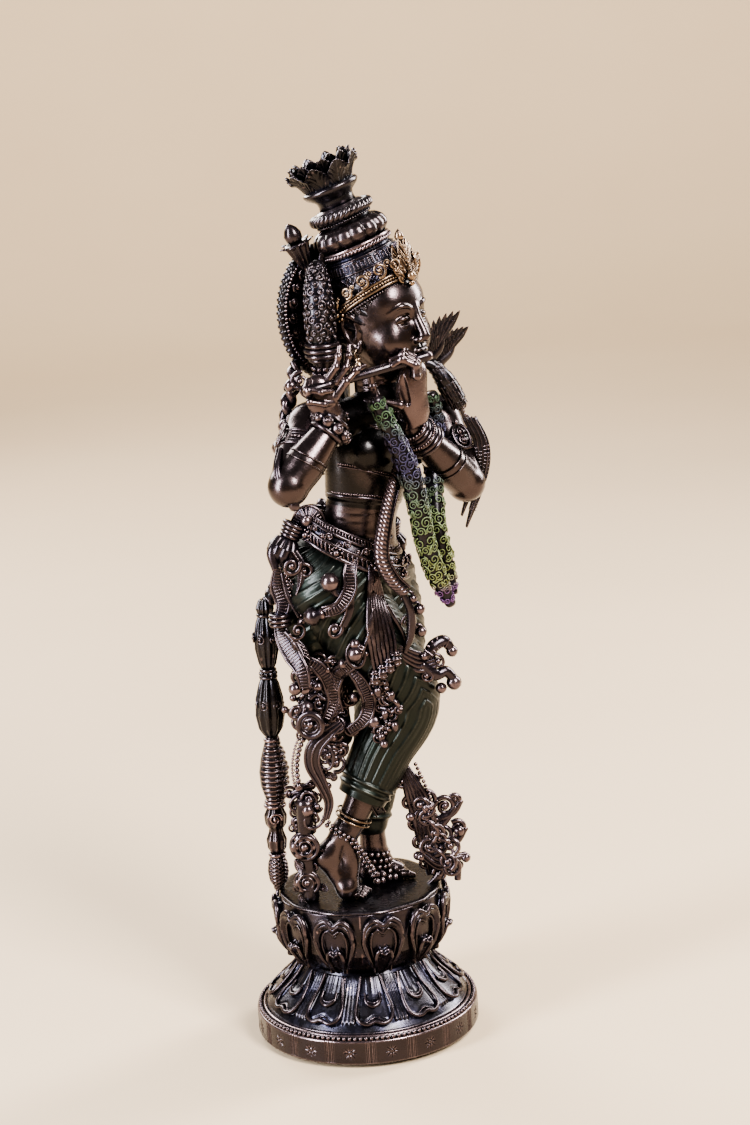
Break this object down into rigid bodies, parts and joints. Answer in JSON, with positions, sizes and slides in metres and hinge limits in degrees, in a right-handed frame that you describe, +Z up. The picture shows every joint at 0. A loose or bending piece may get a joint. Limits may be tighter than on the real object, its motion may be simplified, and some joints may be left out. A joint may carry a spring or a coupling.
{
  "type": "deity statue",
  "caption": "Bronze-finish resin statuette of a flute-playing deity standing cross-legged on a round double-lotus pedestal.",
  "frame": {"origin": "centre of the underside of the felt pad, where the statue stands", "axes": "+Z up along the statue's height; -Y is the way the figure's chest faces, so +X is on its left hand"},
  "size_m": [0.0847, 0.076, 0.3001],
  "materials": {
    "bronze": "semi-gloss antique bronze finish over cast resin, rubbed back to copper on raised edges",
    "worn_bronze": "satin rubbed bronze, pinkish copper on the highest relief",
    "dark_bronze": "satin gunmetal with blue-violet tones in the recesses",
    "green_patina": "satin dark green patina over bronze",
    "rose_patina": "matte green and violet dry-brushed patina on the roses",
    "steel": "plain drawn wire",
    "felt": "short black felt"
  },
  "bodies": {
    "root": {"right_leg_pin": "steel", "left_leg_pin": "steel", "felt_pad": "felt", "pour_hole_plug": "dark_bronze", "base_plinth": "bronze", "lower_lotus": "dark_bronze", "upper_lotus": "bronze", "lotus_platform": "dark_bronze", "flute": "worn_bronze", "right_hand": "worn_bronze", "left_hand": "worn_bronze", "head": "bronze", "crown_petal_cup": "bronze", "crown_twist_ring": "worn_bronze", "crown_bulge": "bronze", "diadem_leaf": "worn_bronze", "diadem": "worn_bronze", "crown_lattice_cap": "dark_bronze", "garland_near_strand": "rose_patina", "garland_far_strand": "rose_patina", "rope_garland": "worn_bronze", "right_bracelet": "worn_bronze", "right_forearm": "bronze", "right_upper_arm": "bronze", "left_bracelet": "worn_bronze", "left_forearm": "bronze", "left_upper_arm": "bronze", "bird_near_wing": "bronze", "bird_far_wing": "bronze", "bird_body": "bronze", "bird_tail": "dark_bronze", "halo_bud": "worn_bronze", "hair_tassel": "bronze", "right_earring": "worn_bronze", "left_earring": "worn_bronze", "halo_disc": "dark_bronze", "back_hair": "dark_bronze", "shoulder_scrolls": "worn_bronze", "necklace": "worn_bronze", "torso": "dark_bronze", "belt": "worn_bronze", "right_hip_knot": "worn_bronze", "left_hip_knot": "worn_bronze", "front_pleats": "dark_bronze", "hips": "green_patina", "right_foot": "bronze", "left_foot": "bronze", "right_shin": "green_patina", "right_thigh": "green_patina", "left_shin": "green_patina", "left_thigh": "green_patina", "right_sash_upper": "bronze", "right_sash_lower": "bronze", "right_scarf_loop": "bronze", "left_scarf_scroll": "bronze", "left_sash": "bronze", "left_lower_scarf": "bronze", "braid_upper": "dark_bronze", "braid_lower": "bronze"}
  },
  "joints": []
}
